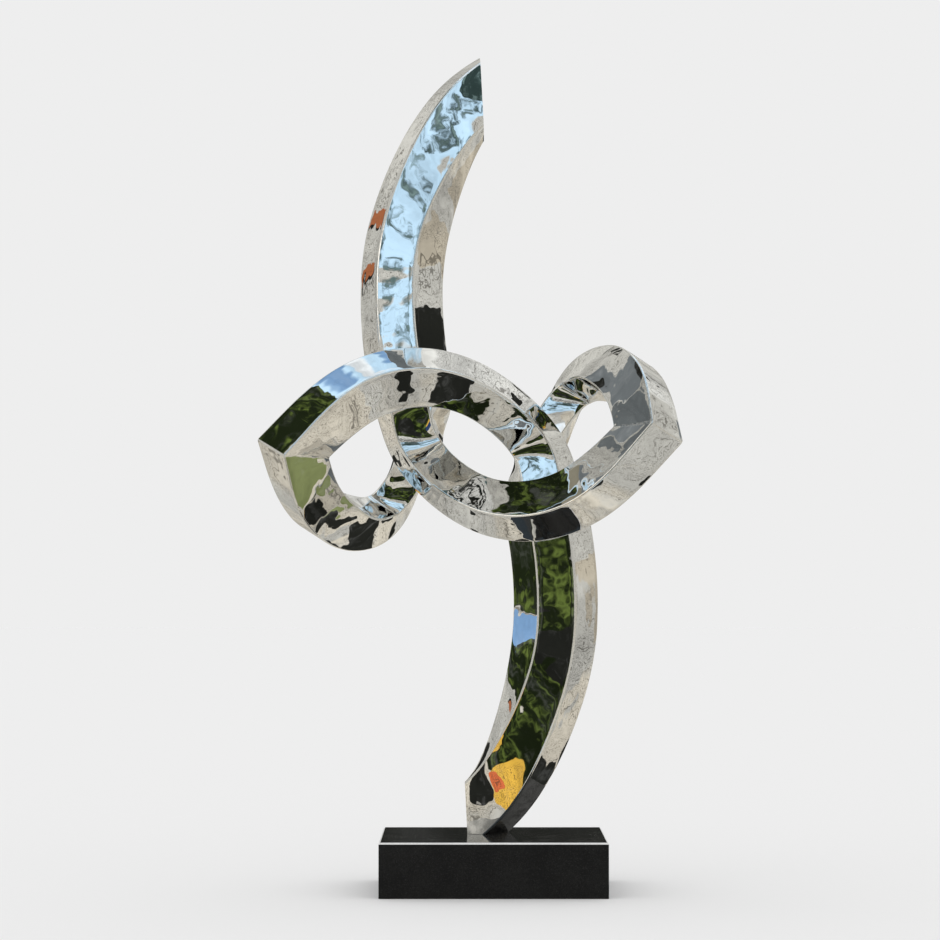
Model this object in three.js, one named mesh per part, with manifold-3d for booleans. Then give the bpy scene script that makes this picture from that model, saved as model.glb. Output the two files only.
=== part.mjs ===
// An abstract knot of mirror-polished steel bar on a block plinth.
//
// One bar, folded into two equal arms that pass in front of and behind each
// other. Each arm is a long curved limb that ends in a mitred corner and a
// short hook, and the hook is welded to the back of the other arm. The second
// arm is the first one turned half round, and its limb points up where the
// first one stands on the plinth.
//
// Millimetres. X to the right, Y to the back, Z up. The origin is the middle
// of the plinth's underside.

import * as THREE from 'three';
import Module from 'manifold-3d';

const wasm = await Module();
wasm.setup();

// ---- driving dimensions -------------------------------------------------

const PLINTH = { wide: 535, deep: 413, high: 130, chamfer: 4 };
const FOOT_GAP = 0.3;

// The line that the second arm is turned half round about: a point on it, and
// how far it runs sideways and upwards for each step towards the back.
const TURN_AXIS = { x: -37, z: 1055, sideways: 0.07, upwards: -0.02 };

// Seen from the front, an arm is four arcs: a tight one where its limb curls
// in at the foot, a long one up the limb, one over the ring and a small one
// round the hook. Each is a centre, a radius and the angles that it runs
// between, counted up from the right.
const TOE_ARC = { x: -235, z: 453, radius: 350, from: -70, to: -42 };
const LIMB_ARC = { x: -860, z: 680, radius: 1015, from: -10, to: 17 };
const RING_ARC = { x: -170, z: 925, radius: 322, from: 28, to: 158 };
const HOOK_ARC = { x: -320, z: 1005, radius: 145, from: 215, to: 295 };
const WELD_ANGLE = 380;

// How far the bar's middle lies behind the middle of the plinth, or ahead of it.
const FOOT_BACK = 100;
const LIMB_AHEAD = 40;
const CORNER_AHEAD = 235;
const HOOK_BACK = 140;
const WELD_BACK = 70;

// How far the section is turned about the bar, in degrees. It faces the front
// all the way up the limb, and turns evenly over the ring and round the hook.
const FOOT_ROLL = -15;
const SHOULDER_ROLL = -20;
const CORNER_ROLL = -55;
const HOOK_ROLL = { from: -30, to: 75 };
const WELD_ROLL = 105;

// The bar is about as deep as it is wide, and a little thinner in the hook.
const LIMB_DEEP = 100;
const HOOK_DEEP = 85;

// The shapes that the bar's section has on its way: widths of the front and
// back faces. The limb's back is the wider one, so both its sides show.
const SLAB = { front: 140, back: 150 };
const TOE = { front: 120, back: 170 };
const WEDGE = { front: 90, back: 205 };
const SQUARE = { front: 95, back: 95 };
const CORNER = { front: 125, back: 110 };
const BEND = { front: 105, back: 125 };
const TAIL = { front: 85, back: 85 };

// Upright saw cuts end the limbs: where each passes through, and its lean.
const FOOT_CUT = { x: -65, z: 200 };
const TIP_CUT = { x: -25, z: 1900 };
const CUT_LEAN = -0.05;

const SECTION_STEP = 20;
const MITRE_CLEARANCE = 2;
const CUT_BLOCK = 900;

// ---- the bar ------------------------------------------------------------

const TOWARDS_FRONT = new THREE.Vector3(0, -1, 0);
const { lerp } = THREE.MathUtils;

/** A station on an arc: its angle there, its depth and roll, and its section. */
function station(arc, at, y, roll, shape, deep) {
  const angle = THREE.MathUtils.degToRad(at);
  const x = arc.x + arc.radius * Math.cos(angle);
  const z = arc.z + arc.radius * Math.sin(angle);
  return [x, y, z, roll, shape.front, shape.back, deep];
}

/** Stations at even steps along an arc. `describe` gives the depth, roll and shape at each share of it. */
function stationsAlong(arc, count, deep, describe) {
  return Array.from({ length: count }, (_, i) => {
    const share = i / (count - 1);
    const [y, roll, shape] = describe(share);
    return station(arc, lerp(arc.from, arc.to, share), y, roll, shape, deep);
  });
}

/** The limb: it rises from the foot and swings forward over the ring to the corner. */
function limbStations() {
  const toeBack = (FOOT_BACK - LIMB_AHEAD) / 2;
  const swing = (share) => -CORNER_AHEAD * Math.sin((share * Math.PI) / 2);
  return [
    ...stationsAlong(TOE_ARC, 2, LIMB_DEEP, (share) =>
      [lerp(FOOT_BACK, toeBack, share), FOOT_ROLL, share < 1 ? SLAB : TOE]),
    ...stationsAlong(LIMB_ARC, 4, LIMB_DEEP, () => [-LIMB_AHEAD, 0, WEDGE]),
    ...stationsAlong(RING_ARC, 4, LIMB_DEEP, (share) =>
      [swing(share), lerp(SHOULDER_ROLL, CORNER_ROLL, share), share < 0.5 ? SQUARE : CORNER]),
  ];
}

/** The hook: it passes from in front of the other arm to behind it, and ends in the weld. */
function hookStations() {
  return [
    ...stationsAlong(HOOK_ARC, 3, HOOK_DEEP, (share) => [
      lerp(-HOOK_BACK, HOOK_BACK, share),
      lerp(HOOK_ROLL.from, HOOK_ROLL.to, share),
      [CORNER, BEND, TAIL][2 * share],
    ]),
    station(HOOK_ARC, WELD_ANGLE, WELD_BACK, WELD_ROLL, TAIL, HOOK_DEEP),
  ];
}

/** The weights of four neighbouring stations on a smooth cubic curve, and their rates of change. */
function splineWeights(t) {
  const place = [(1 - t) ** 3, 3 * t ** 3 - 6 * t ** 2 + 4, -3 * t ** 3 + 3 * t ** 2 + 3 * t + 1, t ** 3];
  const slope = [-((1 - t) ** 2), 3 * t ** 2 - 4 * t, -3 * t ** 2 + 2 * t + 1, t ** 2];
  return { place: place.map((w) => w / 6), slope: slope.map((w) => w / 2) };
}

/** The rows with one more at each end, so that the guide line reaches the end stations. */
function withEnds(rows) {
  const beyond = (end, inner) => end.map((value, i) => 2 * value - inner[i]);
  return [beyond(rows[0], rows[1]), ...rows, beyond(rows.at(-1), rows.at(-2))];
}

/** The bar's section at a distance along the rows, counted in stations. */
function sectionAt(rows, along) {
  const span = Math.min(Math.floor(along), rows.length - 2);
  const { place, slope } = splineWeights(along - span);
  const four = withEnds(rows).slice(span, span + 4);
  const mix = (weights) => four[0].map((_, i) => four.reduce((sum, row, k) => sum + weights[k] * row[i], 0));
  const [x, y, z, roll, front, back, deep] = mix(place);
  const direction = new THREE.Vector3(...mix(slope)).normalize();
  const middle = new THREE.Vector3(x, y, z);
  return { direction, roll, corners: corners(middle, direction, roll, front, back, deep) };
}

/** The section's two directions when it has no roll: towards the front, and outwards. */
function uprightFrame(direction) {
  const facing = TOWARDS_FRONT.clone().projectOnPlane(direction).normalize();
  return { facing, outwards: new THREE.Vector3().crossVectors(direction, facing) };
}

/** The section's four corners: inner back, inner front, outer front, outer back. */
function corners(middle, direction, roll, front, back, deep) {
  const { facing, outwards } = uprightFrame(direction);
  const angle = THREE.MathUtils.degToRad(roll);
  facing.applyAxisAngle(direction, angle);
  outwards.applyAxisAngle(direction, angle);
  const corner = (across, ahead) =>
    middle.clone().addScaledVector(outwards, across).addScaledVector(facing, ahead);
  return [
    corner(-back / 2, -deep / 2),
    corner(-front / 2, deep / 2),
    corner(front / 2, deep / 2),
    corner(back / 2, -deep / 2),
  ];
}

/** Sections about every SECTION_STEP millimetres along the rows. */
function sectionsAlong(rows) {
  const points = rows.map(([x, y, z]) => new THREE.Vector3(x, y, z));
  const length = points.slice(1).reduce((sum, point, i) => sum + point.distanceTo(points[i]), 0);
  const count = Math.round(length / SECTION_STEP);
  return Array.from({ length: count + 1 }, (_, i) => sectionAt(rows, (i / count) * (rows.length - 1)));
}

/** The roll that the hook starts with, so that its faces meet the limb's across the mitre. */
function rollAcrossMitre(limbEnd, hookDirection) {
  const turn = new THREE.Quaternion().setFromUnitVectors(limbEnd.direction, hookDirection);
  const limbFrame = uprightFrame(limbEnd.direction);
  const facing = limbFrame.facing.applyAxisAngle(limbEnd.direction, THREE.MathUtils.degToRad(limbEnd.roll));
  facing.applyQuaternion(turn);
  const hookFrame = uprightFrame(hookDirection);
  return THREE.MathUtils.radToDeg(Math.atan2(facing.dot(hookFrame.outwards), facing.dot(hookFrame.facing)));
}

/** The sections of one whole arm, as rings of four corners from its foot to the end of its hook. */
function armRings() {
  const limbRows = limbStations();
  const hookRows = hookStations();
  const limb = sectionsAlong(limbRows);
  const limbEnd = limb.at(-1);

  const [x, y, z, , ...sizes] = limbRows.at(-1);
  const elbow = new THREE.Vector3(x, y, z);
  const hookDirection = new THREE.Vector3(...hookRows[0].slice(0, 3)).sub(elbow).normalize();
  const hookStart = [x, y, z, rollAcrossMitre(limbEnd, hookDirection), ...sizes];
  const hook = sectionsAlong([hookStart, ...hookRows]);

  const mitre = new THREE.Plane().setFromNormalAndCoplanarPoint(
    limbEnd.direction.clone().add(hookDirection).normalize(),
    elbow,
  );
  const onMitre = limbEnd.corners.map((corner) => {
    const reach = -mitre.distanceToPoint(corner) / mitre.normal.dot(limbEnd.direction);
    return corner.clone().addScaledVector(limbEnd.direction, reach);
  });
  const isClear = (side) => ({ corners: ring }) =>
    ring.every((corner) => side * mitre.distanceToPoint(corner) > MITRE_CLEARANCE);
  const limbRings = limb.slice(0, limb.findLastIndex(isClear(-1)) + 1).map((section) => section.corners);
  const hookRings = hook.slice(hook.findIndex(isClear(1))).map((section) => section.corners);
  return [...limbRings, onMitre, ...hookRings];
}

// ---- solids -------------------------------------------------------------

/** A closed solid through rings of four corners, each anticlockwise as seen from the ring after it. */
function loft(rings) {
  const positions = rings.flat().flatMap((corner) => corner.toArray());
  const index = [];
  const quad = (a, b, c, d) => index.push(a, b, c, a, c, d);
  for (let ring = 0; ring < rings.length - 1; ring += 1) {
    for (let side = 0; side < 4; side += 1) {
      const next = (side + 1) % 4;
      quad(4 * ring + side, 4 * ring + next, 4 * ring + 4 + next, 4 * ring + 4 + side);
    }
  }
  const last = 4 * (rings.length - 1);
  quad(3, 2, 1, 0);
  quad(last, last + 1, last + 2, last + 3);
  const geometry = new THREE.BufferGeometry();
  geometry.setAttribute('position', new THREE.Float32BufferAttribute(positions, 3));
  geometry.setIndex(index);
  return geometry;
}

/** A solid that can be joined and cut. */
function toSolid(geometry) {
  return new wasm.Manifold(new wasm.Mesh({
    numProp: 3,
    vertProperties: new Float32Array(geometry.attributes.position.array),
    triVerts: new Uint32Array(geometry.index.array),
  }));
}

/** The geometry of a solid that has been joined and cut. */
function toGeometry(solid) {
  const { vertProperties, triVerts } = solid.getMesh();
  const geometry = new THREE.BufferGeometry();
  geometry.setAttribute('position', new THREE.BufferAttribute(vertProperties, 3));
  geometry.setIndex(new THREE.BufferAttribute(triVerts, 1));
  geometry.computeVertexNormals();
  return geometry;
}

/** A block for cutting with, indexed and with shared corners. */
function cuttingBlock(placement) {
  const half = CUT_BLOCK / 2;
  const outline = [[-1, -1], [1, -1], [1, 1], [-1, 1]];
  const ring = (z) =>
    outline.map(([x, y]) => new THREE.Vector3(x * half, y * half, z).applyMatrix4(placement));
  return toSolid(loft([ring(-half), ring(half)]));
}

/** The block beyond an upright saw cut, on the side that `side` names: -1 left, 1 right. */
function sawBlock(cut, side) {
  const lean = new THREE.Matrix4().makeRotationY(CUT_LEAN);
  const place = new THREE.Matrix4().makeTranslation(cut.x, 0, cut.z);
  const outward = new THREE.Matrix4().makeTranslation((side * CUT_BLOCK) / 2, 0, 0);
  return cuttingBlock(place.multiply(lean).multiply(outward));
}

/** Turns a geometry half round about the turn axis. */
function turnedHalfRound(geometry) {
  const through = new THREE.Vector3(TURN_AXIS.x, 0, TURN_AXIS.z);
  const axis = new THREE.Vector3(TURN_AXIS.sideways, 1, TURN_AXIS.upwards).normalize();
  const turn = new THREE.Matrix4().makeRotationAxis(axis, Math.PI);
  const to = new THREE.Matrix4().makeTranslation(through.x, through.y, through.z);
  const from = to.clone().invert();
  return geometry.clone().applyMatrix4(to.multiply(turn).multiply(from));
}

/** Both arms, cut at the foot and the tip and welded into one knot. */
function knotGeometry() {
  const arm = loft(armRings());
  const plinthTop = PLINTH.high + FOOT_GAP;
  const below = cuttingBlock(new THREE.Matrix4().makeTranslation(0, 0, plinthTop - CUT_BLOCK / 2));
  const standing = toSolid(arm).subtract(sawBlock(FOOT_CUT, -1)).subtract(below);
  const rising = toSolid(turnedHalfRound(arm)).subtract(sawBlock(TIP_CUT, 1));
  return toGeometry(standing.add(rising));
}

/** The plinth: a block with a narrow chamfer round its top. */
function plinthGeometry() {
  const { wide, deep, high, chamfer } = PLINTH;
  const ring = (inset, z) => [[-1, -1], [1, -1], [1, 1], [-1, 1]].map(
    ([x, y]) => new THREE.Vector3(x * (wide / 2 - inset), y * (deep / 2 - inset), z),
  );
  const geometry = loft([ring(0, 0), ring(0, high - chamfer), ring(chamfer, high)]);
  geometry.computeVertexNormals();
  return geometry;
}

// ---- the sculpture ------------------------------------------------------

const polishedSteel = new THREE.MeshStandardMaterial({ color: 0xc9c9c5, roughness: 0.05, metalness: 1 });
const blackGranite = new THREE.MeshStandardMaterial({ color: 0x141414, roughness: 0.08, metalness: 0 });

const knot = new THREE.Mesh(knotGeometry(), polishedSteel);
knot.name = 'steel_knot';

const plinth = new THREE.Mesh(plinthGeometry(), blackGranite);
plinth.name = 'plinth';

const sculpture = new THREE.Group();
sculpture.add(plinth, knot);

export default sculpture;
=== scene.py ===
"""A knot of mirror-polished steel bar on a black stone plinth: its looks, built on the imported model.

Metres throughout, in the model's own frame: X to the right, Y to the back, Z up.
"""

import logging
import math
from collections.abc import Callable
from dataclasses import dataclass
from enum import Enum

import bpy
from bpy.types import Material, MeshEdge, Node, NodeSocket, NodeTree, Object, ShaderNodeTree
from mathutils import Matrix, Vector


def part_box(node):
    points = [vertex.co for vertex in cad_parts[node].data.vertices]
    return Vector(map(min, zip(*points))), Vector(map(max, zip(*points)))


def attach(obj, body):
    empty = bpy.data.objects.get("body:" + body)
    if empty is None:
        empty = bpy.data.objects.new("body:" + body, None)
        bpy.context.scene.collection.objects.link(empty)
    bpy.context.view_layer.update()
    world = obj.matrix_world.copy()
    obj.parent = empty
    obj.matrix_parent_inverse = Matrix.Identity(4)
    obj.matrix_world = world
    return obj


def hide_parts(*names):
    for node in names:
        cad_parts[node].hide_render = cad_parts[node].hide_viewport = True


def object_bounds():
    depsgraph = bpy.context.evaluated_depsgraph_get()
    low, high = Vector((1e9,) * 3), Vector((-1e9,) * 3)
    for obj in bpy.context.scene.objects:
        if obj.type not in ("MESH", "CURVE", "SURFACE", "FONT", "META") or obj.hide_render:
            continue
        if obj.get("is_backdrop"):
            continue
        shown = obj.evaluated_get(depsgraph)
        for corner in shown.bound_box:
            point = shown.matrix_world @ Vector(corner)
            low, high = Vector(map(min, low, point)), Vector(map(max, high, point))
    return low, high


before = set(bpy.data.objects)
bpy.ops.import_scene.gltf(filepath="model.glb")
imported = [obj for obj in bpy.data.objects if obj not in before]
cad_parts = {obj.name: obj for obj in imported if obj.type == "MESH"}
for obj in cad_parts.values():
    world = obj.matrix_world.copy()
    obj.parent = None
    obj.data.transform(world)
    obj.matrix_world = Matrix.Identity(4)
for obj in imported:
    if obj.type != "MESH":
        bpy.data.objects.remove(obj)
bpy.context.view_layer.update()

log = logging.getLogger("sculpture")

Colour = tuple[float, float, float, float]

ROOT = "root"
TOWARDS_FRONT = Vector((0.0, -1.0, 0.0))
MERGE_DISTANCE = 1e-5
MM = 0.001


# ---- working with objects ----------------------------------------------------


def deselect_all() -> None:
    """Leaves nothing selected."""
    bpy.ops.object.select_all(action="DESELECT")


def activate(piece: Object) -> None:
    """Makes a piece the only selected and the active one.

    Args:
        piece: The object.
    """
    deselect_all()
    piece.select_set(True)
    bpy.context.view_layer.objects.active = piece


def edit(piece: Object, select: str = "SELECT") -> None:
    """Opens a piece in edit mode with everything selected, or nothing.

    Args:
        piece: The mesh object to edit.
        select: SELECT or DESELECT.
    """
    activate(piece)
    bpy.ops.object.mode_set(mode="EDIT")
    bpy.ops.mesh.select_mode(type="VERT")
    bpy.ops.mesh.select_all(action=select)


def leave_edit() -> None:
    """Closes edit mode."""
    bpy.ops.object.mode_set(mode="OBJECT")


def edit_edges(piece: Object, wanted: Callable[[MeshEdge], bool]) -> None:
    """Opens a piece in edit mode with only some of its edges selected.

    Args:
        piece: The mesh object to edit.
        wanted: Says whether an edge is to be selected.
    """
    edit(piece, "DESELECT")
    leave_edit()
    for edge in piece.data.edges:
        edge.select = wanted(edge)
    bpy.ops.object.mode_set(mode="EDIT")
    bpy.ops.mesh.select_mode(type="EDGE")


def dress(piece: Object, materials: list[Material]) -> None:
    """Gives a piece its materials, in the order of their places."""
    for material in materials:
        piece.data.materials.append(material)


def apply_modifiers(piece: Object) -> None:
    """Applies a piece's modifiers in order.

    Args:
        piece: The object.
    """
    activate(piece)
    for modifier in list(piece.modifiers):
        bpy.ops.object.modifier_apply(modifier=modifier.name)


def shade_evenly(piece: Object, crease: float, weight: int) -> None:
    """Shades a piece's broad faces flat and its narrow ones round.

    Args:
        piece: The mesh object.
        crease: The angle past which an edge stays sharp, in degrees.
        weight: How strongly the broad faces lead, from 1 to 100.
    """
    activate(piece)
    bpy.ops.object.shade_smooth_by_angle(angle=math.radians(crease))
    even = piece.modifiers.new("even faces", "WEIGHTED_NORMAL")
    even.keep_sharp, even.weight = True, weight
    apply_modifiers(piece)


# ---- the bar -------------------------------------------------------------------


@dataclass(frozen=True)
class Arc:
    """An arc that the bar follows, as seen from the front.

    Attributes:
        x: Its centre's distance to the right, in millimetres.
        z: Its centre's height, in millimetres.
        radius: Its radius, in millimetres.
        start: The angle that it starts at, counted up from the right, in degrees.
        end: The angle that it ends at.
    """

    x: int
    z: int
    radius: int
    start: int
    end: int


@dataclass(frozen=True)
class Shape:
    """The widths of the bar's section, in millimetres.

    Attributes:
        front: Width of the front face.
        back: Width of the back face.
    """

    front: int
    back: int


@dataclass(frozen=True)
class Station:
    """A place that the bar is drawn through.

    Attributes:
        arc: The arc that it is on.
        at: Its angle there, counted up from the right, in degrees.
        y: How far back the bar's middle is, in millimetres.
        roll: Turn of the section about the bar, in degrees.
        shape: The section's widths.
    """

    arc: Arc
    at: float
    y: float
    roll: float
    shape: Shape

    def row(self, deep: int) -> list[float]:
        """The station as a plain list of seven numbers.

        Args:
            deep: Distance between the front and back faces, in millimetres.

        Returns:
            Its place, its roll, its two widths and its depth, in metres and degrees.
        """
        x = self.arc.x + self.arc.radius * math.cos(math.radians(self.at))
        z = self.arc.z + self.arc.radius * math.sin(math.radians(self.at))
        widths = (self.shape.front * MM, self.shape.back * MM)
        return [x * MM, self.y * MM, z * MM, self.roll, *widths, deep * MM]


@dataclass(frozen=True)
class Section:
    """The bar's outline where it is cut square across.

    Attributes:
        direction: Unit vector along the bar.
        roll: Turn of the section about the bar, in degrees.
        corners: Inner back, inner front, outer front and outer back.
    """

    direction: Vector
    roll: float
    corners: list[Vector]


def spline_weights(t: float) -> tuple[list[float], list[float]]:
    """Weights of four neighbouring stations on a smooth cubic curve.

    Args:
        t: Place between the two middle stations, from 0 to 1.

    Returns:
        The weights for the place itself and those for its direction.
    """
    place = [(1 - t) ** 3, 3 * t**3 - 6 * t**2 + 4, -3 * t**3 + 3 * t**2 + 3 * t + 1, t**3]
    slope = [-((1 - t) ** 2), 3 * t**2 - 4 * t, -3 * t**2 + 2 * t + 1, t**2]
    return [w / 6 for w in place], [w / 2 for w in slope]


def upright_frame(direction: Vector) -> tuple[Vector, Vector]:
    """The section's two directions when it has no roll.

    Args:
        direction: Unit vector along the bar.

    Returns:
        Unit vectors towards the front and outwards.
    """
    facing = (TOWARDS_FRONT - direction * TOWARDS_FRONT.dot(direction)).normalized()
    return facing, direction.cross(facing)


def section_at(rows: list[list[float]], along: float) -> Section:
    """The bar's section at a place along its stations.

    Args:
        rows: The stations as plain lists.
        along: The place, counted in stations from the first one.

    Returns:
        The section there.
    """
    first = [2 * a - b for a, b in zip(rows[0], rows[1])]
    last = [2 * a - b for a, b in zip(rows[-1], rows[-2])]
    span = min(int(along), len(rows) - 2)
    four = [first, *rows, last][span : span + 4]
    place, slope = spline_weights(along - span)
    x, y, z, roll, front, back, deep = (sum(w * v for w, v in zip(place, column)) for column in zip(*four))
    direction = Vector([sum(w * v for w, v in zip(slope, column)) for column in zip(*four)][:3]).normalized()
    facing, outwards = upright_frame(direction)
    turn = Matrix.Rotation(math.radians(roll), 3, direction)
    facing, outwards = turn @ facing, turn @ outwards
    middle = Vector((x, y, z))
    reaches = [(-back / 2, -deep / 2), (-front / 2, deep / 2), (front / 2, deep / 2), (back / 2, -deep / 2)]
    corners = [middle + outwards * across + facing * ahead for across, ahead in reaches]
    return Section(direction, roll, corners)


def sections_along(rows: list[list[float]], step: float) -> list[Section]:
    """Sections at even steps along the stations.

    Args:
        rows: The stations as plain lists.
        step: About how far apart the sections are.

    Returns:
        The sections from the first station to the last.
    """
    points = [Vector(row[:3]) for row in rows]
    length = sum((b - a).length for a, b in zip(points, points[1:]))
    count = round(length / step)
    return [section_at(rows, i / count * (len(rows) - 1)) for i in range(count + 1)]


@dataclass(frozen=True)
class Arm:
    """One arm of the knot: a curved limb, a mitred corner and a hook.

    Attributes:
        limb: Stations from the arm's foot to its corner.
        hook: Stations from the corner to the end of the hook.
        limb_deep: Depth of the limb, in millimetres.
        hook_deep: Depth of the hook, in millimetres.
        step: Distance between the sections it is modelled with.
        cells: Rows of faces across each side of the bar.
        mitre_clearance: How far off the mitre the next sections keep.
        seam: Width of the polished seam on each long edge.
        seam_steps: Faces across a seam.
    """

    limb: tuple[Station, ...]
    hook: tuple[Station, ...]
    limb_deep: int = 100
    hook_deep: int = 85
    step: float = 0.008
    cells: int = 6
    mitre_clearance: float = 0.002
    seam: float = 0.0042
    seam_steps: int = 3

    def mitre_roll(self, limb_end: Section, hook_direction: Vector) -> float:
        """The roll that the hook starts with, so that its faces meet the limb's across the mitre.

        Args:
            limb_end: The limb's last section.
            hook_direction: Unit vector along the hook where it starts.

        Returns:
            The roll in degrees.
        """
        facing = upright_frame(limb_end.direction)[0]
        facing = Matrix.Rotation(math.radians(limb_end.roll), 3, limb_end.direction) @ facing
        facing = limb_end.direction.rotation_difference(hook_direction) @ facing
        ahead, outwards = upright_frame(hook_direction)
        return math.degrees(math.atan2(facing.dot(outwards), facing.dot(ahead)))

    def rings(self) -> tuple[list[list[Vector]], int]:
        """The corners of every section from the foot to the end of the hook.

        Returns:
            The rings of four corners, and which of them is the mitre.
        """
        limb_rows = [station.row(self.limb_deep) for station in self.limb]
        hook_rows = [station.row(self.hook_deep) for station in self.hook]
        limb = sections_along(limb_rows, self.step)
        end = limb[-1]
        elbow = Vector(limb_rows[-1][:3])
        hook_direction = (Vector(hook_rows[0][:3]) - elbow).normalized()
        start_row = [*elbow, self.mitre_roll(end, hook_direction), *limb_rows[-1][4:]]
        hook = sections_along([start_row, *hook_rows], self.step)

        normal = (end.direction + hook_direction).normalized()
        mitre = [
            corner + end.direction * ((elbow - corner).dot(normal) / end.direction.dot(normal))
            for corner in end.corners
        ]

        def is_clear(section: Section, side: int) -> bool:
            """True if all of a section is on one side of the mitre."""
            distances = (side * (corner - elbow).dot(normal) for corner in section.corners)
            return all(distance > self.mitre_clearance for distance in distances)

        before = max(i for i, section in enumerate(limb) if is_clear(section, -1)) + 1
        after = min(i for i, section in enumerate(hook) if is_clear(section, 1))
        rings = [section.corners for section in limb[:before]]
        return [*rings, mitre, *(section.corners for section in hook[after:])], before

    def build(self, name: str, materials: list[Material]) -> Object:
        """Models the arm as a closed bar with polished seams.

        Args:
            name: The new object's name.
            materials: The steel of its faces, and of its seams.

        Returns:
            The arm.
        """
        rings, mitre = self.rings()
        around = 4 * self.cells
        deselect_all()
        bpy.ops.mesh.primitive_grid_add(x_subdivisions=around, y_subdivisions=len(rings) - 1, size=1.0)
        arm = bpy.context.active_object
        arm.name = arm.data.name = name
        dress(arm, materials)
        grid = [
            (round((v.co.x + 0.5) * around), round((v.co.y + 0.5) * (len(rings) - 1)))
            for v in arm.data.vertices
        ]
        for vertex, (column, row) in zip(arm.data.vertices, grid):
            side, part = divmod(column, self.cells)
            ring = rings[row]
            vertex.co = ring[side % 4].lerp(ring[(side + 1) % 4], part / self.cells)
        for edge in arm.data.edges:
            (column_a, row_a), (column_b, row_b) = (grid[v] for v in edge.vertices)
            on_corner = column_a == column_b and column_a % self.cells == 0
            edge.use_edge_sharp = on_corner or row_a == row_b == mitre
        edit(arm)
        bpy.ops.mesh.remove_doubles(threshold=MERGE_DISTANCE)
        bpy.ops.mesh.fill_holes(sides=0)
        bpy.ops.mesh.normals_make_consistent(inside=False)
        leave_edit()
        self.bevel_seams(arm)
        return arm

    def bevel_seams(self, arm: Object) -> None:
        """Turns the sharp edges into narrow rounded seams.

        Args:
            arm: The closed bar, with its long edges and its mitre marked sharp.
        """
        edit_edges(arm, lambda edge: edge.use_edge_sharp)
        bpy.ops.mesh.mark_sharp(clear=True)
        bpy.ops.mesh.bevel(
            offset=self.seam, offset_type="OFFSET", segments=self.seam_steps, clamp_overlap=False, material=1
        )
        leave_edit()


@dataclass(frozen=True)
class SawCut:
    """An upright saw cut that ends a limb.

    Attributes:
        through: A point on the cut.
        lean: Turn of the cut from upright, in radians.
        side: Which side is cut away: -1 left, 1 right.
        reach: How far above and below the point the saw works.
    """

    through: tuple[float, float, float]
    lean: float
    side: int
    reach: float = 0.35

    def apply(self, piece: Object) -> None:
        """Cuts a closed piece and closes the end that is left."""
        outward = Matrix.Rotation(self.lean, 3, "Y") @ Vector((self.side, 0.0, 0.0))
        cut_off(piece, Vector(self.through), outward, self.reach)


def cut_off(piece: Object, through: Vector, outward: Vector, reach: float) -> None:
    """Cuts away what lies beyond a plane and closes the cut.

    Args:
        piece: A closed mesh object.
        through: A point on the plane.
        outward: The side of the plane that is cut away.
        reach: How far above and below that point the cut works.
    """
    edit(piece, "DESELECT")
    leave_edit()
    for vertex in piece.data.vertices:
        vertex.select = abs(vertex.co.z - through.z) < reach
    for edge in piece.data.edges:
        edge.select = all(piece.data.vertices[v].select for v in edge.vertices)
    for face in piece.data.polygons:
        face.select = all(piece.data.vertices[v].select for v in face.vertices)
    bpy.ops.object.mode_set(mode="EDIT")
    bpy.ops.mesh.bisect(plane_co=through, plane_no=outward, use_fill=True, clear_outer=True)
    leave_edit()


@dataclass(frozen=True)
class SteelKnot:
    """The whole bar form: two equal arms, the second one the first turned half round.

    Attributes:
        arm: The arm that stands on the plinth.
        turn_through: A point on the line that the second arm is turned about.
        turn_along: The direction of that line.
        foot_cut: The saw cut that ends the standing limb.
        tip_cut: The saw cut that ends the rising limb.
        foot_level: Height of the standing limb's underside.
        wave_length: Size of the slight waves in the polished sheet.
        wave_height: How high they are.
        crease: The angle past which an edge stays sharp, in degrees.
        evenness: How strongly the broad faces lead the shading.
    """

    arm: Arm
    turn_through: Vector
    turn_along: Vector
    foot_cut: SawCut
    tip_cut: SawCut
    foot_level: float
    wave_length: float = 0.16
    wave_height: float = 0.0016
    crease: float = 35.0
    evenness: int = 60

    def build(self, materials: list[Material]) -> Object:
        """Models both arms and welds them into one closed piece.

        Args:
            materials: The steel of the faces, and of the seams.

        Returns:
            The finished knot.
        """
        standing = self.arm.build("polished_knot", materials)
        rising = standing.copy()
        rising.data = standing.data.copy()
        bpy.context.scene.collection.objects.link(rising)
        to = Matrix.Translation(self.turn_through)
        rising.data.transform(to @ Matrix.Rotation(math.pi, 4, self.turn_along) @ to.inverted())
        self.foot_cut.apply(standing)
        self.tip_cut.apply(rising)
        cut_off(standing, Vector((0.0, 0.0, self.foot_level)), Vector((0.0, 0.0, -1.0)), self.foot_cut.reach)
        weld = standing.modifiers.new("weld", "BOOLEAN")
        weld.operation, weld.solver, weld.object = "UNION", "EXACT", rising
        weld.material_mode = "INDEX"
        apply_modifiers(standing)
        bpy.data.objects.remove(rising)
        self.ripple(standing)
        shade_evenly(standing, self.crease, self.evenness)
        return standing

    def ripple(self, knot: Object) -> None:
        """Gives the sheet the slight waves that polishing leaves.

        Args:
            knot: The welded knot.
        """
        waves = bpy.data.textures.new("polishing waves", "CLOUDS")
        waves.noise_scale = self.wave_length
        press = knot.modifiers.new("ripple", "DISPLACE")
        press.texture, press.strength, press.texture_coords = waves, self.wave_height, "LOCAL"
        apply_modifiers(knot)


# ---- the plinth ----------------------------------------------------------------


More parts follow.
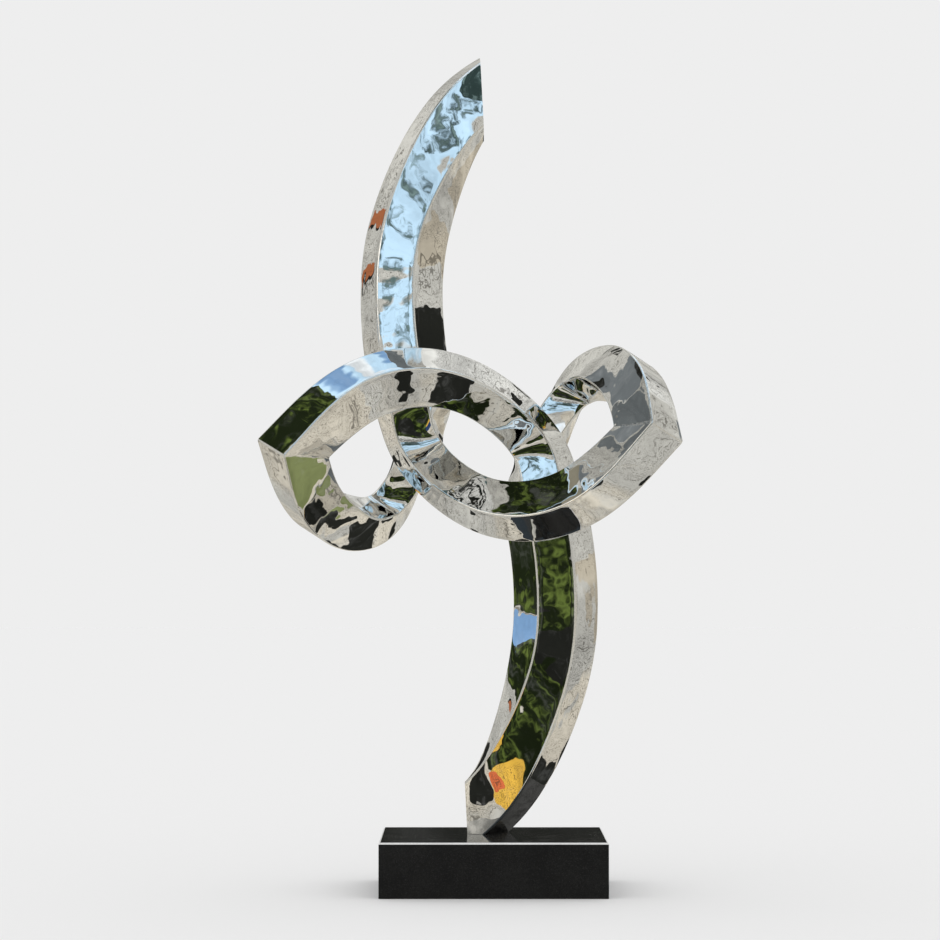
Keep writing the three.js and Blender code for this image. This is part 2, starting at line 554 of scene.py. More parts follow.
@dataclass(frozen=True)
class StonePlinth:
    """The block that the knot stands on, with a ground chamfer round its top.

    Attributes:
        low: The block's lowest corner.
        high: The block's highest corner.
        chamfer: Width of the chamfer, measured along each face.
        arris: Rounding of the underside's edges.
        arris_steps: Faces across that rounding.
        crease: The angle past which an edge stays sharp, in degrees.
        evenness: How strongly the broad faces lead the shading.
    """

    low: Vector
    high: Vector
    chamfer: float = 0.004
    arris: float = 0.0008
    arris_steps: int = 2
    crease: float = 30.0
    evenness: int = 100

    def build(self, materials: list[Material]) -> Object:
        """Models the block from a cube.

        Args:
            materials: The polished stone, and the ground stone of the chamfer, painted near white as a
                highlight along the top edge.

        Returns:
            The finished block.
        """
        deselect_all()
        bpy.ops.mesh.primitive_cube_add(size=1.0, location=(self.low + self.high) / 2)
        block = bpy.context.active_object
        block.name = block.data.name = "polished_plinth"
        block.scale = self.high - self.low
        bpy.ops.object.transform_apply(location=True, rotation=True, scale=True)
        dress(block, materials)
        # The chamfer takes the second material, painted near white as a highlight.
        self.bevel_edges(block, self.high.z, self.chamfer, steps=1, place=1)
        self.bevel_edges(block, self.low.z, self.arris, steps=self.arris_steps, place=0)
        shade_evenly(block, self.crease, self.evenness)
        return block

    def bevel_edges(self, block: Object, level: float, width: float, steps: int, place: int) -> None:
        """Bevels the four edges of the block's top or of its underside.

        Args:
            block: The block.
            level: Height of the edges.
            width: Width of the bevel.
            steps: Faces across it.
            place: Its material place.
        """
        heights = [vertex.co.z for vertex in block.data.vertices]
        edit_edges(block, lambda edge: all(abs(heights[v] - level) < self.arris for v in edge.vertices))
        bpy.ops.mesh.bevel(offset=width, segments=steps, material=place)
        leave_edit()


# ---- shader nodes --------------------------------------------------------------


# Places of a colour Mix node's sockets.
MIX_FACTOR, MIX_FIRST, MIX_SECOND, MIX_RESULT = 0, 6, 7, 2


class Nodes:
    """Adds nodes to a tree and links them as they are added."""

    def __init__(self, tree: NodeTree) -> None:
        """Starts with the tree to add to."""
        self.tree = tree

    def add(self, kind: str, inputs: dict | None = None, **settings: object) -> Node:
        """Adds one node.

        Args:
            kind: The node's type name.
            inputs: Its input sockets by name or place: a socket to link from, or a value.
            settings: Its other properties.

        Returns:
            The new node.
        """
        node = self.tree.nodes.new(kind)
        for name, value in settings.items():
            setattr(node, name, value)
        for key, value in (inputs or {}).items():
            if isinstance(value, NodeSocket):
                self.tree.links.new(value, node.inputs[key])
            else:
                node.inputs[key].default_value = value
        return node

    def math(self, operation: str, *values: NodeSocket | float) -> NodeSocket:
        """The result of a Math node."""
        return self.add("ShaderNodeMath", dict(enumerate(values)), operation=operation).outputs[0]

    def mix(self, mask: NodeSocket, where_not: object, where: object) -> NodeSocket:
        """The mix of two colours by a mask."""
        inputs = {MIX_FACTOR: mask, MIX_FIRST: where_not, MIX_SECOND: where}
        return self.add("ShaderNodeMix", inputs, data_type="RGBA").outputs[MIX_RESULT]

    def remap(
        self, value: NodeSocket, low: float, high: float, to_low: float = 0.0, to_high: float = 1.0
    ) -> NodeSocket:
        """A value's range carried smoothly onto another range."""
        inputs = {"Value": value, "From Min": low, "From Max": high, "To Min": to_low, "To Max": to_high}
        return self.add("ShaderNodeMapRange", inputs, interpolation_type="SMOOTHSTEP").outputs[0]

    def noise(
        self, place: NodeSocket, scale: float | NodeSocket, detail: float = 2.0, rough: float = 0.5
    ) -> NodeSocket:
        """The value of a noise texture."""
        inputs = {"Vector": place, "Scale": scale, "Detail": detail, "Roughness": rough}
        return self.add("ShaderNodeTexNoise", inputs).outputs[0]

    def switch(self, mask: NodeSocket, where_not: Node, where: Node) -> Node:
        """One shader or another, by a mask."""
        return self.add("ShaderNodeMixShader", {0: mask, 1: where_not.outputs[0], 2: where.outputs[0]})

    def effect(self, group: ShaderNodeTree, place: NodeSocket, **values: float) -> Node:
        """A shared effect, read at a place on the piece, with this material's own values."""
        return self.add("ShaderNodeGroup", {"Position": place, **values}, node_tree=group)


def new_material(name: str) -> tuple[Material, Nodes]:
    """Starts a material with an empty node tree.

    Args:
        name: The material's name.

    Returns:
        The material, and what adds its nodes.
    """
    material = bpy.data.materials.new(name)
    material.use_nodes = True
    material.node_tree.nodes.clear()
    return material, Nodes(material.node_tree)


def new_group(
    name: str, inputs: dict[str, tuple[str, float]], outputs: dict[str, str]
) -> tuple[ShaderNodeTree, Node, Node]:
    """Starts a shader node group.

    Args:
        name: The group's name.
        inputs: Each input's socket type and first value.
        outputs: Each output's socket type.

    Returns:
        The group, its input node and its output node.
    """
    group = bpy.data.node_groups.new(name, "ShaderNodeTree")
    for label, (kind, value) in inputs.items():
        socket = group.interface.new_socket(name=label, in_out="INPUT", socket_type=kind)
        if kind == "NodeSocketFloat":
            socket.default_value = value
    for label, kind in outputs.items():
        group.interface.new_socket(name=label, in_out="OUTPUT", socket_type=kind)
    return group, group.nodes.new("NodeGroupInput"), group.nodes.new("NodeGroupOutput")


def polishing_ripple() -> ShaderNodeTree:
    """The faint unevenness of polished sheet, as a height.

    Returns:
        The node group.
    """
    group, given, result = new_group(
        "polishing ripple",
        {"Position": ("NodeSocketVector", 0.0), "Scale": ("NodeSocketFloat", 10.0)},
        {"Height": "NodeSocketFloat"},
    )
    nodes = Nodes(group)
    finer_by, fine_share = 3.1, 0.22
    broad = nodes.noise(given.outputs["Position"], given.outputs["Scale"], detail=1.0)
    finer = nodes.math("MULTIPLY", given.outputs["Scale"], finer_by)
    fine = nodes.noise(given.outputs["Position"], finer, detail=1.0)
    height = nodes.math("MULTIPLY_ADD", fine, fine_share, broad)
    group.links.new(height, result.inputs["Height"])
    return group


def handling_haze() -> ShaderNodeTree:
    """Where a polished surface has dulled a little, as a roughness.

    Returns:
        The node group.
    """
    group, given, result = new_group(
        "handling haze",
        {
            "Position": ("NodeSocketVector", 0.0),
            "Clean": ("NodeSocketFloat", 0.02),
            "Dull": ("NodeSocketFloat", 0.06),
        },
        {"Roughness": "NodeSocketFloat"},
    )
    nodes = Nodes(group)
    wipe_share = 0.25
    cloud = nodes.noise(given.outputs["Position"], scale=7.0, detail=6.0, rough=0.62)
    wipe = nodes.noise(given.outputs["Position"], scale=90.0, detail=3.0, rough=0.7)
    amount = nodes.remap(nodes.math("MULTIPLY_ADD", wipe, wipe_share, cloud), low=0.52, high=0.86)
    span = nodes.math("SUBTRACT", given.outputs["Dull"], given.outputs["Clean"])
    roughness = nodes.math("MULTIPLY_ADD", amount, span, given.outputs["Clean"])
    group.links.new(roughness, result.inputs["Roughness"])
    return group


def stone_grain() -> ShaderNodeTree:
    """The crystals of a fine black granite, as a lightness and a mask of its bright flecks.

    Returns:
        The node group.
    """
    group, given, result = new_group(
        "stone grain",
        {"Position": ("NodeSocketVector", 0.0)},
        {"Lightness": "NodeSocketFloat", "Flecks": "NodeSocketFloat"},
    )
    nodes = Nodes(group)
    crystal = nodes.add("ShaderNodeTexVoronoi", {"Vector": given.outputs["Position"], "Scale": 900.0})
    shade = nodes.add("ShaderNodeSeparateColor", {0: crystal.outputs["Color"]}).outputs[0]
    cloud = nodes.noise(given.outputs["Position"], scale=14.0, detail=4.0)
    group.links.new(nodes.math("MULTIPLY", shade, cloud), result.inputs["Lightness"])
    group.links.new(nodes.remap(shade, low=0.93, high=0.985), result.inputs["Flecks"])
    return group


@dataclass(frozen=True)
class PolishedSteel:
    """Stainless sheet polished to a mirror.

    Attributes:
        name: The material's name.
        colour: The metal's own colour.
        stained: Its colour where it has weathered a little.
        clean: Roughness of the brightest places.
        dull: Roughness of the dullest ones.
        ripple_scale: How many ripples there are to the metre.
        ripple_height: How high they are.
    """

    name: str
    colour: Colour
    stained: Colour
    clean: float
    dull: float
    ripple_scale: float
    ripple_height: float

    def build(self, ripple: ShaderNodeTree, haze: ShaderNodeTree) -> Material:
        """Makes the material from the shared groups.

        Args:
            ripple: The effect that gives the ripples' height.
            haze: The effect that gives the roughness.

        Returns:
            The material.
        """
        material, nodes = new_material(self.name)
        place = nodes.add("ShaderNodeTexCoord").outputs["Object"]
        waves = nodes.effect(ripple, place, Scale=self.ripple_scale)
        dulling = nodes.effect(haze, place, Clean=self.clean, Dull=self.dull)
        bump_inputs = {"Height": waves.outputs["Height"], "Strength": 1.0, "Distance": self.ripple_height}
        bump = nodes.add("ShaderNodeBump", bump_inputs)
        weather = nodes.remap(nodes.noise(place, scale=3.0, detail=5.0, rough=0.6), low=0.5, high=0.75)
        shader = nodes.add(
            "ShaderNodeBsdfPrincipled",
            {
                "Base Color": nodes.mix(weather, self.colour, self.stained),
                "Metallic": 1.0,
                "Roughness": dulling.outputs["Roughness"],
                "Normal": bump.outputs["Normal"],
            },
        )
        nodes.add("ShaderNodeOutputMaterial", {"Surface": shader.outputs["BSDF"]})
        return material


@dataclass(frozen=True)
class BlackGranite:
    """Fine-grained black granite; the chamfer's copy has near-white colours, a painted highlight.

    Attributes:
        name: The material's name.
        dark: Colour of its dark crystals.
        light: Colour of its lighter ones.
        fleck: Colour of its bright flecks.
        clean: Roughness of the best polished places.
        dull: Roughness of the dullest ones.
        gloss: How strongly it reflects.
    """

    name: str
    dark: Colour
    light: Colour
    fleck: Colour
    clean: float
    dull: float
    gloss: float

    def build(self, grain: ShaderNodeTree, haze: ShaderNodeTree) -> Material:
        """Makes the material from the shared groups.

        Args:
            grain: The effect that gives the crystals.
            haze: The effect that gives the roughness.

        Returns:
            The material.
        """
        material, nodes = new_material(self.name)
        place = nodes.add("ShaderNodeTexCoord").outputs["Object"]
        crystals = nodes.effect(grain, place)
        dulling = nodes.effect(haze, place, Clean=self.clean, Dull=self.dull)
        lightness = nodes.remap(crystals.outputs["Lightness"], low=0.05, high=0.6)
        body = nodes.mix(lightness, self.dark, self.light)
        shader = nodes.add(
            "ShaderNodeBsdfPrincipled",
            {
                "Base Color": nodes.mix(crystals.outputs["Flecks"], body, self.fleck),
                "Roughness": dulling.outputs["Roughness"],
                "Specular IOR Level": self.gloss,
            },
        )
        nodes.add("ShaderNodeOutputMaterial", {"Surface": shader.outputs["BSDF"]})
        return material


# ---- the stage -----------------------------------------------------------------


PALE = (0.855, 0.855, 0.855, 1.0)
WHITE = (1.0, 1.0, 1.0, 1.0)


class Pattern(Enum):
    """What breaks up a patch of the surroundings."""

    PLAIN = "plain"
    BUSHES = "bushes"
    TREES = "trees"
    BARS = "bars"


@dataclass(frozen=True)
class Patch:
    """Something that stands round the sculpture and shows in its polish.

    Attributes:
        bearing: Where it stands, in degrees from the front, to the right.
        height: Its middle's angle above the horizon, in degrees.
        wide: Half its width, in degrees.
        high: Half its height, in degrees.
        colour: Its colour.
        pattern: What breaks it up.
        light: The colour of the leaves in it that catch the light.
        soft: How soft its edge is, as a share of its size.
    """

    bearing: float
    height: float
    wide: float
    high: float
    colour: Colour
    pattern: Pattern = Pattern.PLAIN
    light: Colour = (0.16, 0.22, 0.05, 1.0)
    soft: float = 0.06


SKY = (0.66, 0.93, 1.16, 1.0)
CLOUD = (1.10, 1.16, 1.20, 1.0)
DEEP_SKY = (0.24, 0.42, 0.70, 1.0)
PALE_STONE = (0.68, 0.67, 0.62, 1.0)
LIT_STONE = (0.98, 0.98, 0.94, 1.0)
SUNLIT_WALL = (1.9, 1.83, 1.67, 1.0)
SAND = (0.82, 0.76, 0.64, 1.0)
WALL = (0.62, 0.56, 0.45, 1.0)
EARTH = (0.27, 0.25, 0.19, 1.0)
SHADE = (0.020, 0.021, 0.018, 1.0)
HEDGE = (0.014, 0.020, 0.008, 1.0)
PINE = (0.035, 0.060, 0.058, 1.0)
NEEDLES = (0.26, 0.38, 0.38, 1.0)
GRASS = (0.27, 0.31, 0.13, 1.0)
SLATE = (0.19, 0.21, 0.22, 1.0)
NAVY = (0.03, 0.06, 0.15, 1.0)
AMBER = (1.10, 0.66, 0.10, 1.0)
CORAL = (0.95, 0.22, 0.08, 1.0)
RUST = (0.46, 0.16, 0.07, 1.0)
STAIN = (0.07, 0.06, 0.045, 1.0)

SURROUNDINGS = (
    # the sky, above and in front
    Patch(0, 85, 180, 13, SLATE),
    Patch(-150, 62.5, 42, 6, SKY),
    Patch(-125, 61, 14, 4, DEEP_SKY, soft=0.5),
    Patch(-174, 63, 9, 3, DEEP_SKY, soft=0.5),
    Patch(-148, 65, 9, 4, CLOUD, soft=0.6),
    Patch(2, 21, 34, 13, SKY),
    Patch(-23, 40, 10, 20, SKY),
    Patch(2, 19, 33, 12, PINE, Pattern.TREES, NEEDLES),
    Patch(-24, 42, 4, 12, PINE, Pattern.TREES, NEEDLES),
    Patch(30, 17, 7, 5, PINE, Pattern.BUSHES, NEEDLES),
    Patch(6, 46, 9, 9, SAND),
    Patch(3, 8, 9, 6, LIT_STONE),
    Patch(3, 10, 8, 4, SHADE, Pattern.BARS),
    Patch(-58, 15, 14, 9, SUNLIT_WALL, soft=0.5),
    # behind the sculpture
    Patch(160, 43, 30, 19, LIT_STONE, soft=0.4),
    Patch(131, 26, 4, 3, SLATE),
    Patch(145, 29, 1.5, 1.5, SHADE),
    Patch(130, -1, 33, 6, WALL),
    Patch(-125.5, 6, 8.5, 5.5, HEDGE, Pattern.BUSHES),
    Patch(-117, -9, 10, 9, HEDGE, Pattern.BUSHES),
    Patch(-118, 2, 5, 1.8, DEEP_SKY),
    Patch(180, 4, 16, 3.6, SHADE),
    Patch(-148, -13, 3, 2.5, SHADE),
    Patch(-152, -54, 5, 3.5, SHADE),
    Patch(-168, -64, 13, 5, EARTH),
    Patch(-147, -35, 2.5, 1.5, SHADE),
    Patch(-137, -30, 6, 4, SLATE),
    Patch(-143.3, 16, 1.5, 1.2, SHADE),
    Patch(-143.7, 16.2, 1.3, 1.1, RUST),
    Patch(-139.6, 7.5, 1.3, 1.4, SHADE),
    Patch(-140, 7.9, 1.1, 1.3, RUST),
    # to the left
    Patch(-93, 53, 18, 8, HEDGE, Pattern.BUSHES),
    Patch(-107, 45, 9, 5.5, EARTH),
    Patch(-105, 49, 5, 2, SHADE),
    Patch(-115, 40, 5, 2.5, SLATE),
    Patch(-84, 70, 4, 5, LIT_STONE),
    Patch(-52, 75, 30, 5, EARTH),
    Patch(0, 72, 16, 4, LIT_STONE),
    Patch(-68, 57, 7, 4, SHADE),
    Patch(-48, 57, 17, 7, EARTH),
    Patch(-124, 33, 10, 6, SLATE),
    Patch(-125, 31, 4, 2, SHADE),
    Patch(-143, 28, 5, 1.6, SHADE, Pattern.BARS),
    # to the right
    Patch(48, 33, 5, 8, SLATE),
    Patch(68, 55, 14, 6, EARTH),
    Patch(86, 63, 17, 7, SHADE),
    Patch(103, 16, 8, 6.5, SHADE),
    Patch(118, -16, 7, 19, PALE_STONE),
    Patch(102, -28, 7, 4, GRASS),
    Patch(92, -40, 11, 7, SAND),
    Patch(110, -33, 1.6, 5, SHADE),
    Patch(135, -38, 20, 3.5, SHADE),
    Patch(131, -30, 7, 2.6, SHADE),
    Patch(139, -24, 7, 3, SHADE),
    Patch(74, -55.5, 5, 2.6, SHADE),
    Patch(54, -65, 14, 4, SHADE),
    # before the sculpture
    Patch(-8, -10, 26, 12, HEDGE, Pattern.BUSHES),
    Patch(-30, -24, 12, 5, HEDGE, Pattern.BUSHES),
    Patch(26, -8, 5, 6, SLATE),
    Patch(9, -30, 5, 4, SKY),
    Patch(20, -37, 7, 3, SLATE),
    Patch(-42, -30, 3, 2.5, GRASS),
    Patch(-36, -32, 3, 2.5, SHADE),
    Patch(0, -8, 8, 5, SHADE),
    Patch(2, -15, 4, 5, HEDGE, Pattern.BUSHES),
    Patch(3, -22, 4, 2.5, NAVY),
    Patch(0, -22, 1.2, 2.5, AMBER),
    Patch(3, -27, 2, 1.6, GRASS),
    Patch(20, -44, 10, 5, SHADE),
    Patch(26, -55, 20, 4.5, SKY),
    Patch(-13, -36, 6, 4, HEDGE, Pattern.BUSHES),
    Patch(-43, -40, 10, 7, SLATE),
    Patch(10, -72, 30, 3.5, EARTH),
    Patch(-47, -19, 5, 6, SHADE),
    Patch(-35, -17, 7, 5, AMBER),
    Patch(-39, -19, 2.4, 1.8, CORAL),
    Patch(-31, -14, 2, 1.6, CORAL),
)


@dataclass(frozen=True)
class Outlook:
    """What is worked out once for every direction, and used by all the patches.

    Attributes:
        nodes: The world's nodes.
        towards: The direction.
        bearing: Its angle from the front.
        height: Its angle above the horizon.
        ragged: The unevenness of the patches' edges.
        twigs: Where trees close up the sky.
        leaves: Where leaves catch the light.
        bars: Where a row of bars stands.
    """

    nodes: Nodes
    towards: NodeSocket
    bearing: NodeSocket
    height: NodeSocket
    ragged: NodeSocket
    twigs: NodeSocket
    leaves: NodeSocket
    bars: NodeSocket


@dataclass(frozen=True)
class Surroundings:
    """The garden that shows in the polished steel. Nothing but its reflection is seen.

    Attributes:
        patches: What stands round the sculpture.
        wall_top: Where the pale walls round the garden end, in degrees above the horizon.
        blur: How softly paving, walls and sky meet, in degrees.
        raggedness: How far a patch's edge wanders, as a share of its size.
        squareness: How square a patch is.
        joint_strength: How dark the joints of the paving are.
    """

    patches: tuple[Patch, ...] = SURROUNDINGS
    wall_top: float = 48.0
    blur: float = 4.0
    raggedness: float = 0.6
    squareness: float = 2.6
    joint_strength: float = 0.7

    def build(self) -> None:
        """Makes the world: even pale light, and the garden in what is reflected."""
        world = bpy.data.worlds.new("surroundings")
        bpy.context.scene.world = world
        world.use_nodes = True
        world.node_tree.nodes.clear()
        nodes = Nodes(world.node_tree)
        view = self.look_round(nodes)
        colour = self.open_ground(view)
        for patch in self.patches:
            colour = self.paint(view, patch, colour)
        reflected = nodes.add("ShaderNodeBackground", {"Color": self.weathered(view, colour)})
        studio = nodes.add("ShaderNodeBackground", {"Color": WHITE})
        backdrop = nodes.add("ShaderNodeBackground", {"Color": PALE})
        rays = nodes.add("ShaderNodeLightPath").outputs
        lit = nodes.switch(rays["Is Glossy Ray"], studio, reflected)
        seen = nodes.switch(rays["Is Camera Ray"], lit, backdrop)
        nodes.add("ShaderNodeOutputWorld", {"Surface": seen.outputs[0]})

    def look_round(self, nodes: Nodes) -> Outlook:
        """Works out each direction's bearing and height, and the patterns that patches share.

        Args:
            nodes: The world's nodes.

        Returns:
            What the patches are painted with.
        """
        towards = nodes.add("ShaderNodeTexCoord").outputs["Generated"]
        x, y, z = nodes.add("ShaderNodeSeparateXYZ", {0: towards}).outputs
        stripes = nodes.add(
            "ShaderNodeTexWave",
            {"Vector": towards, "Scale": 13.0, "Distortion": 5.0, "Detail": 2.0, "Detail Scale": 3.0},
            bands_direction="DIAGONAL",
        )
        uneven = nodes.noise(towards, scale=9.0, detail=3.0, rough=0.5)
        return Outlook(
            nodes=nodes,
            towards=towards,
            bearing=nodes.math("ARCTAN2", x, nodes.math("MULTIPLY", y, -1.0)),
            height=nodes.math("ARCSINE", z),
            ragged=nodes.math("MULTIPLY_ADD", uneven, 2.0 * self.raggedness, -self.raggedness),
            twigs=nodes.remap(nodes.noise(towards, scale=10.0, detail=9.0, rough=0.66), low=0.45, high=0.57),
            leaves=nodes.remap(nodes.noise(towards, scale=20.0, detail=7.0, rough=0.6), low=0.49, high=0.72),
            bars=nodes.remap(stripes.outputs["Fac"], low=0.42, high=0.58),
        )

    def open_ground(self, view: Outlook) -> NodeSocket:
        """The colour where no patch is: sandy paving, pale walls, and sky over them.

        Args:
            view: What the patches are painted with.

        Returns:
            The colour.
        """
        nodes = view.nodes
        blur = math.radians(self.blur)
        top = math.radians(self.wall_top)
        worn = nodes.remap(nodes.noise(view.towards, scale=2.5, detail=5.0, rough=0.6), low=0.4, high=0.6)
        paving = nodes.mix(worn, SAND, PALE_STONE)
        cloud = nodes.remap(nodes.noise(view.towards, scale=2.2, detail=6.0, rough=0.6), low=0.42, high=0.65)
        sky = nodes.mix(cloud, SKY, CLOUD)
        walls = nodes.mix(nodes.remap(view.height, top, top + blur), PALE_STONE, sky)
        return nodes.mix(nodes.remap(view.height, -blur, blur), paving, walls)

    def paint(self, view: Outlook, patch: Patch, under: NodeSocket) -> NodeSocket:
        """Sets one patch over what is already there.

        Args:
            view: What the patches are painted with.
            patch: The patch.
            under: What is already there.

        Returns:
            The colour with the patch in it.
        """
        nodes = view.nodes
        turned = nodes.math("SUBTRACT", view.bearing, math.radians(patch.bearing))
        away = nodes.math("WRAP", turned, math.pi, -math.pi)
        raised = nodes.math("SUBTRACT", view.height, math.radians(patch.height))
        reach = view.ragged
        for part, half in ((away, patch.wide), (raised, patch.high)):
            share = nodes.math("ABSOLUTE", nodes.math("DIVIDE", part, math.radians(half)))
            reach = nodes.math("ADD", reach, nodes.math("POWER", share, self.squareness))
        mask = nodes.remap(reach, 1.0 + patch.soft, 1.0 - patch.soft)
        if patch.pattern is Pattern.PLAIN:
            return nodes.mix(mask, under, patch.colour)
        if patch.pattern is Pattern.BUSHES:
            return nodes.mix(mask, under, nodes.mix(view.leaves, patch.colour, patch.light))
        if patch.pattern is Pattern.TREES:
            crown = nodes.mix(view.leaves, patch.colour, patch.light)
            return nodes.mix(nodes.math("MULTIPLY", mask, view.twigs), under, crown)
        return nodes.mix(nodes.math("MULTIPLY", mask, view.bars), under, patch.colour)

    def weathered(self, view: Outlook, colour: NodeSocket) -> NodeSocket:
        """Adds cracks and grit to pale stone, and unevenness to everything.

        Args:
            view: What the patches are painted with.
            colour: The colour before.

        Returns:
            The colour after.
        """
        nodes = view.nodes
        red, _, blue = nodes.add("ShaderNodeSeparateColor", {0: colour}).outputs
        warm = nodes.remap(nodes.math("SUBTRACT", blue, red), low=0.1, high=0.0)
        stone = nodes.math("MULTIPLY", nodes.remap(red, low=0.4, high=0.55), warm)
        bent = nodes.add("ShaderNodeTexNoise", {"Vector": view.towards, "Scale": 3.0, "Detail": 5.0})
        crooked = nodes.add(
            "ShaderNodeVectorMath", {0: bent.outputs["Color"], 1: view.towards}, operation="ADD"
        )
        slabs = nodes.add(
            "ShaderNodeTexVoronoi", {"Vector": crooked.outputs[0], "Scale": 2.2}, feature="DISTANCE_TO_EDGE"
        )
        joints = nodes.remap(slabs.outputs["Distance"], low=0.010, high=0.003)
        marks = nodes.math("MULTIPLY", joints, self.joint_strength)
        where = nodes.remap(nodes.noise(view.towards, scale=7.0, detail=3.0), low=0.34, high=0.50)
        for scale, strength in ((170.0, 0.75), (1200.0, 0.85)):
            grains = nodes.add("ShaderNodeTexVoronoi", {"Vector": view.towards, "Scale": scale})
            grit = nodes.remap(grains.outputs["Distance"], low=0.38, high=0.28)
            specks = nodes.math("MULTIPLY", grit, where)
            marks = nodes.math("MAXIMUM", marks, nodes.math("MULTIPLY", specks, strength))
        marked = nodes.mix(nodes.math("MULTIPLY", marks, stone), colour, STAIN)
        drift = nodes.noise(view.towards, scale=4.0, detail=7.0, rough=0.62)
        tone = nodes.remap(drift, low=0.32, high=0.70, to_low=1.18, to_high=0.72)
        shaded = nodes.add("ShaderNodeVectorMath", {0: marked, 3: tone}, operation="SCALE").outputs[0]
        glints = nodes.noise(view.towards, scale=12.0, detail=8.0, rough=0.66)
        gleam = nodes.remap(glints, low=0.50, high=0.76, to_low=0.0, to_high=0.09)
        return nodes.add("ShaderNodeVectorMath", {0: shaded, 1: gleam}, operation="ADD").outputs[0]


@dataclass(frozen=True)
class Viewpoint:
    """Where the sculpture is seen from.

    Attributes:
        at: The camera's place.
        tilt: How far it looks up, in degrees.
        lens: Its focal length in millimetres.
        sensor: Its sensor's width in millimetres.
    """

    at: tuple[float, float, float] = (-0.055, -7.02, 0.77)
    tilt: float = 1.9
    lens: float = 112.0
    sensor: float = 36.0

    def build(self) -> None:
        """Sets up the scene's camera."""
        camera = bpy.data.objects.new("camera", bpy.data.cameras.new("camera"))
        bpy.context.scene.collection.objects.link(camera)
        camera.location = self.at
        camera.rotation_euler = (math.radians(90.0 + self.tilt), 0.0, 0.0)
        camera.data.lens, camera.data.sensor_width = self.lens, self.sensor
        bpy.context.scene.camera = camera


def build_floor(size: float = 60.0) -> Object:
    """A plain pale floor, which the steel doesn't reflect.

    Args:
        size: Its length and width.

    Returns:
        The floor.
    """
    deselect_all()
    bpy.ops.mesh.primitive_plane_add(size=size)
    floor = bpy.context.active_object
    floor.name = "floor"
    material, nodes = new_material("pale floor")
    surface = nodes.add("ShaderNodeBsdfDiffuse", {"Color": PALE})
    nodes.add("ShaderNodeOutputMaterial", {"Surface": surface.outputs[0]})
    dress(floor, [material])
    floor.visible_glossy = False
    return floor


# ---- the sculpture -------------------------------------------------------------

TOE_ARC = Arc(-235, 453, 350, -70, -42)
LIMB_ARC = Arc(-860, 680, 1015, -10, 17)
RING_ARC = Arc(-170, 925, 322, 28, 158)
HOOK_ARC = Arc(-320, 1005, 145, 215, 295)
WELD_ANGLE = 380

FOOT_BACK, LIMB_AHEAD, CORNER_AHEAD, HOOK_BACK, WELD_BACK = 100, 40, 235, 140, 70
FOOT_ROLL, SHOULDER_ROLL, CORNER_ROLL, WELD_ROLL = -15, -20, -55, 105
HOOK_ROLL_START, HOOK_ROLL_END = -30, 75

SLAB = Shape(140, 150)
TOE = Shape(120, 170)
WEDGE = Shape(90, 205)
SQUARE = Shape(95, 95)
CORNER = Shape(125, 110)
BEND = Shape(105, 125)
TAIL = Shape(85, 85)

TURN_THROUGH = Vector((-0.037, 0.0, 1.055))
TURN_ALONG = Vector((0.07, 1.0, -0.02)).normalized()
CUT_LEAN = -0.05
LEFT, RIGHT = -1, 1
FOOT_CUT = SawCut((-0.065, 0.0, 0.200), CUT_LEAN, LEFT)
TIP_CUT = SawCut((-0.025, 0.0, 1.900), CUT_LEAN, RIGHT)


def between(start: float, end: float, share: float) -> float:
    """The value a share of the way from start to end."""
    return start + (end - start) * share


def stations_along(
    arc: Arc, count: int, describe: Callable[[float], tuple[float, float, Shape]]
) -> tuple[Station, ...]:
    """Stations at even steps along an arc.

    Args:
        arc: The arc.
        count: How many stations there are.
        describe: Gives the depth, roll and shape at a share of the arc, from 0 to 1.

    Returns:
        The stations, from the arc's start to its end.
    """
    shares = [i / (count - 1) for i in range(count)]
    return tuple(Station(arc, between(arc.start, arc.end, share), *describe(share)) for share in shares)


def limb_stations() -> tuple[Station, ...]:
    """The limb: it rises from the foot and swings forward over the ring to the corner.

    Returns:
        The limb's stations, from the foot.
    """
    toe_back = (FOOT_BACK - LIMB_AHEAD) / 2

    def toe(share: float) -> tuple[float, float, Shape]:
        """Leads forward from the foot."""
        return between(FOOT_BACK, toe_back, share), FOOT_ROLL, SLAB if share < 1 else TOE

    def rise(_: float) -> tuple[float, float, Shape]:
        """Faces the front all the way up."""
        return -LIMB_AHEAD, 0, WEDGE

    def swing(share: float) -> tuple[float, float, Shape]:
        """Swings forward and turns over the ring."""
        ahead = CORNER_AHEAD * math.sin(share * math.pi / 2)
        return -ahead, between(SHOULDER_ROLL, CORNER_ROLL, share), SQUARE if share < 0.5 else CORNER

    return (
        *stations_along(TOE_ARC, 2, toe),
        *stations_along(LIMB_ARC, 4, rise),
        *stations_along(RING_ARC, 4, swing),
    )


def hook_stations() -> tuple[Station, ...]:
    """The hook: it passes from in front of the other arm to behind it, and ends in the weld.

    Returns:
        The hook's stations, from the corner.
    """

    def bend(share: float) -> tuple[float, float, Shape]:
        """Passes back and twists evenly."""
        roll = between(HOOK_ROLL_START, HOOK_ROLL_END, share)
        return between(-HOOK_BACK, HOOK_BACK, share), roll, (CORNER, BEND, TAIL)[round(2 * share)]

    return (
        *stations_along(HOOK_ARC, 3, bend),
        Station(HOOK_ARC, WELD_ANGLE, WELD_BACK, WELD_ROLL, TAIL),
    )


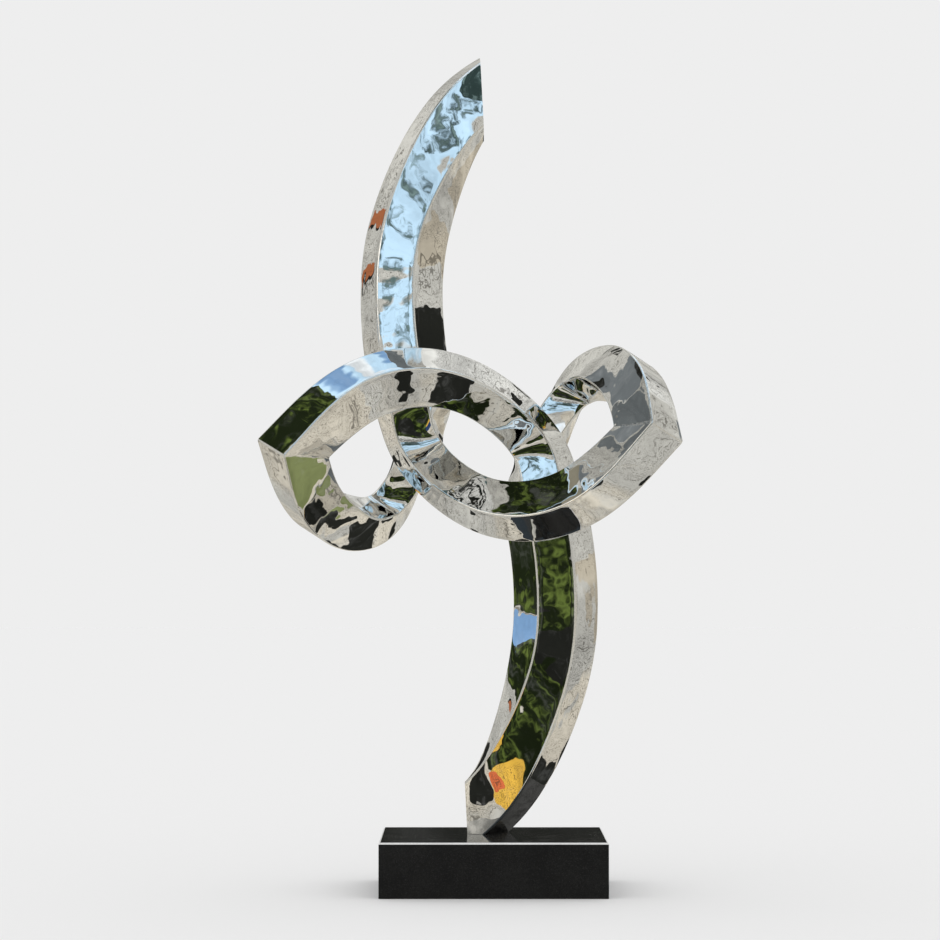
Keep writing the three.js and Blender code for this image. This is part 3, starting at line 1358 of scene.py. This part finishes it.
MIRROR = PolishedSteel(
    name="mirror steel",
    colour=(0.79, 0.79, 0.78, 1.0),
    stained=(0.74, 0.735, 0.72, 1.0),
    clean=0.006,
    dull=0.035,
    ripple_scale=7.0,
    ripple_height=0.0028,
)
SEAM = PolishedSteel(
    name="polished seam",
    colour=(0.84, 0.84, 0.83, 1.0),
    stained=(0.70, 0.69, 0.67, 1.0),
    clean=0.05,
    dull=0.16,
    ripple_scale=30.0,
    ripple_height=0.001,
)
POLISHED_STONE = BlackGranite(
    name="polished black granite",
    dark=(0.011, 0.011, 0.011, 1.0),
    light=(0.021, 0.021, 0.020, 1.0),
    fleck=(0.034, 0.034, 0.033, 1.0),
    clean=0.04,
    dull=0.10,
    gloss=0.35,
)
# The chamfer's stone, painted near white: a painted highlight along the plinth's top edge, over the lighter
# grey that ground granite has.
GROUND_STONE_WITH_HIGHLIGHT = BlackGranite(
    name="ground granite with painted highlight",
    dark=(0.66, 0.66, 0.65, 1.0),
    light=(0.88, 0.88, 0.87, 1.0),
    fleck=(0.94, 0.94, 0.94, 1.0),
    clean=0.45,
    dull=0.6,
    gloss=0.5,
)


def tie_to_model(piece: Object, node: str) -> None:
    """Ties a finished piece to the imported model.

    Args:
        piece: The finished mesh object.
        node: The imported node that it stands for.
    """
    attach(piece, ROOT)
    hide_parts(node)
    log.info("%s: %d faces", piece.name, len(piece.data.polygons))


def main() -> None:
    """Builds the knot and the plinth, and then what they stand in."""
    logging.basicConfig(level=logging.INFO, format="%(name)s: %(message)s")
    ripple, haze, grain = polishing_ripple(), handling_haze(), stone_grain()

    low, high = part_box("plinth")
    stone = [POLISHED_STONE.build(grain, haze), GROUND_STONE_WITH_HIGHLIGHT.build(grain, haze)]
    plinth = StonePlinth(low, high).build(stone)
    tie_to_model(plinth, "plinth")

    steel = [MIRROR.build(ripple, haze), SEAM.build(ripple, haze)]
    knot = SteelKnot(
        arm=Arm(limb_stations(), hook_stations()),
        turn_through=TURN_THROUGH,
        turn_along=TURN_ALONG,
        foot_cut=FOOT_CUT,
        tip_cut=TIP_CUT,
        foot_level=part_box("steel_knot")[0].z,
    ).build(steel)
    tie_to_model(knot, "steel_knot")

    build_floor()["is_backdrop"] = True
    Surroundings().build()
    Viewpoint().build()
    bpy.context.scene.view_settings.view_transform = "Standard"

    low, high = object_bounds()


if __name__ == "__main__":
    main()
